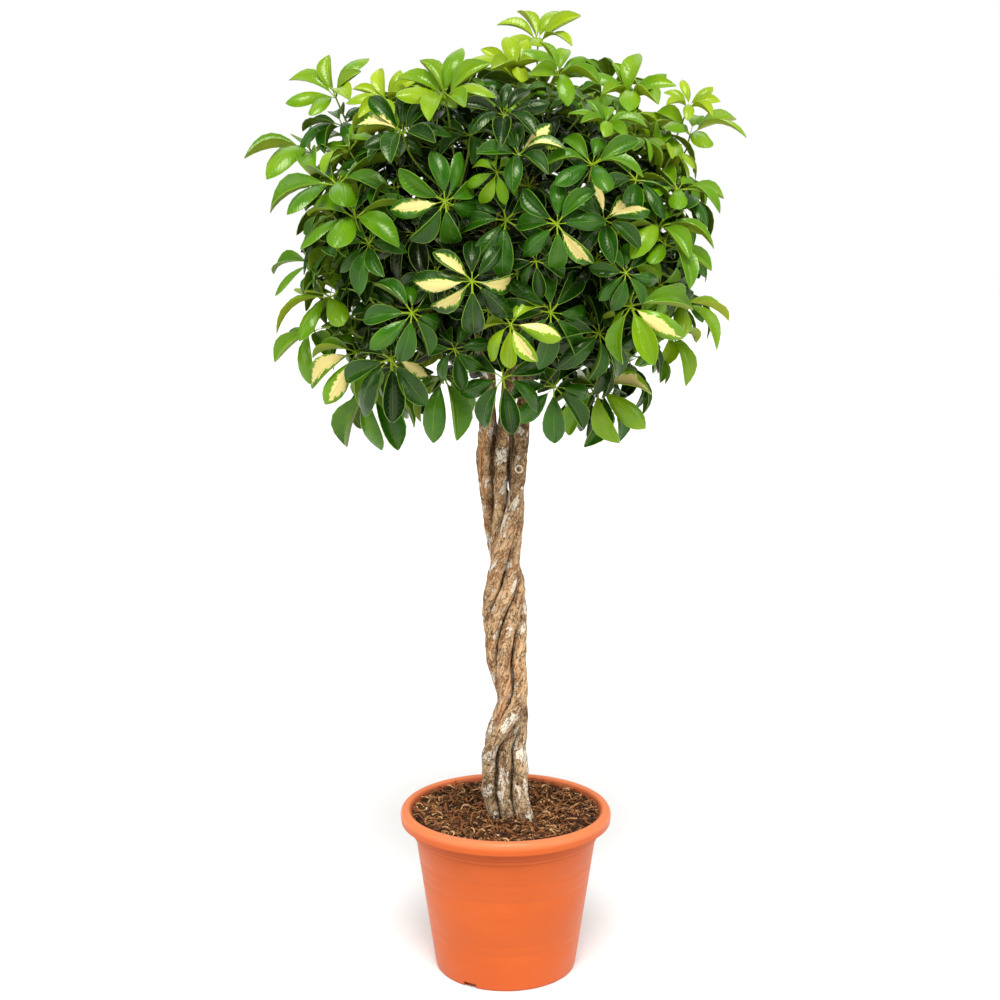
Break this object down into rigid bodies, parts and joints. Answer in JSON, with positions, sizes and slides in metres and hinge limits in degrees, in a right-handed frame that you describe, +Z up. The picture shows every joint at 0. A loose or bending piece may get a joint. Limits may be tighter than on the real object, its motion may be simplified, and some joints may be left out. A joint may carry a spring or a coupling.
{
  "type": "potted umbrella plant",
  "caption": "Indoor umbrella tree with a twisted bare trunk and a round head of glossy palmate leaves, standing in soil in a round plastic nursery pot.",
  "frame": {"origin": "centre of the flat underside of the pot", "axes": "+Z up along the trunk, -Y towards the side that the picture shows, +X to its right"},
  "size_m": [0.6291, 0.5003, 1.2522],
  "materials": {
    "pot": "satin moulded orange plastic",
    "soil": "loose brown potting mix of shredded bark and crumbs",
    "bark": "brown bark with pale lichen patches",
    "leaf": "glossy leathery green leaf, partly variegated with cream, on a pale green stalk"
  },
  "bodies": {
    "root": {"pot": "pot", "soil": "soil", "stem_1": "bark", "stem_2": "bark", "stem_3": "bark", "stem_4": "bark", "stem_5": "bark", "leafy_shoot_1_1": "leaf", "leafy_shoot_1_2": "leaf", "leafy_shoot_1_3": "leaf", "leafy_shoot_1_4": "leaf", "leafy_shoot_1_5": "leaf", "leafy_shoot_2_1": "leaf", "leafy_shoot_2_2": "leaf", "leafy_shoot_2_3": "leaf", "leafy_shoot_2_4": "leaf", "leafy_shoot_2_5": "leaf", "leafy_shoot_2_6": "leaf", "leafy_shoot_3_1": "leaf", "leafy_shoot_3_2": "leaf", "leafy_shoot_3_3": "leaf", "leafy_shoot_3_4": "leaf", "leafy_shoot_3_5": "leaf", "leafy_shoot_3_6": "leaf", "leafy_shoot_4_1": "leaf", "leafy_shoot_4_2": "leaf", "leafy_shoot_4_3": "leaf", "leafy_shoot_4_4": "leaf", "leafy_shoot_4_5": "leaf", "leafy_shoot_4_6": "leaf", "leafy_shoot_5_1": "leaf", "leafy_shoot_5_2": "leaf", "leafy_shoot_5_3": "leaf", "leafy_shoot_5_4": "leaf", "leafy_shoot_5_5": "leaf", "leafy_shoot_5_6": "leaf"}
  },
  "joints": []
}
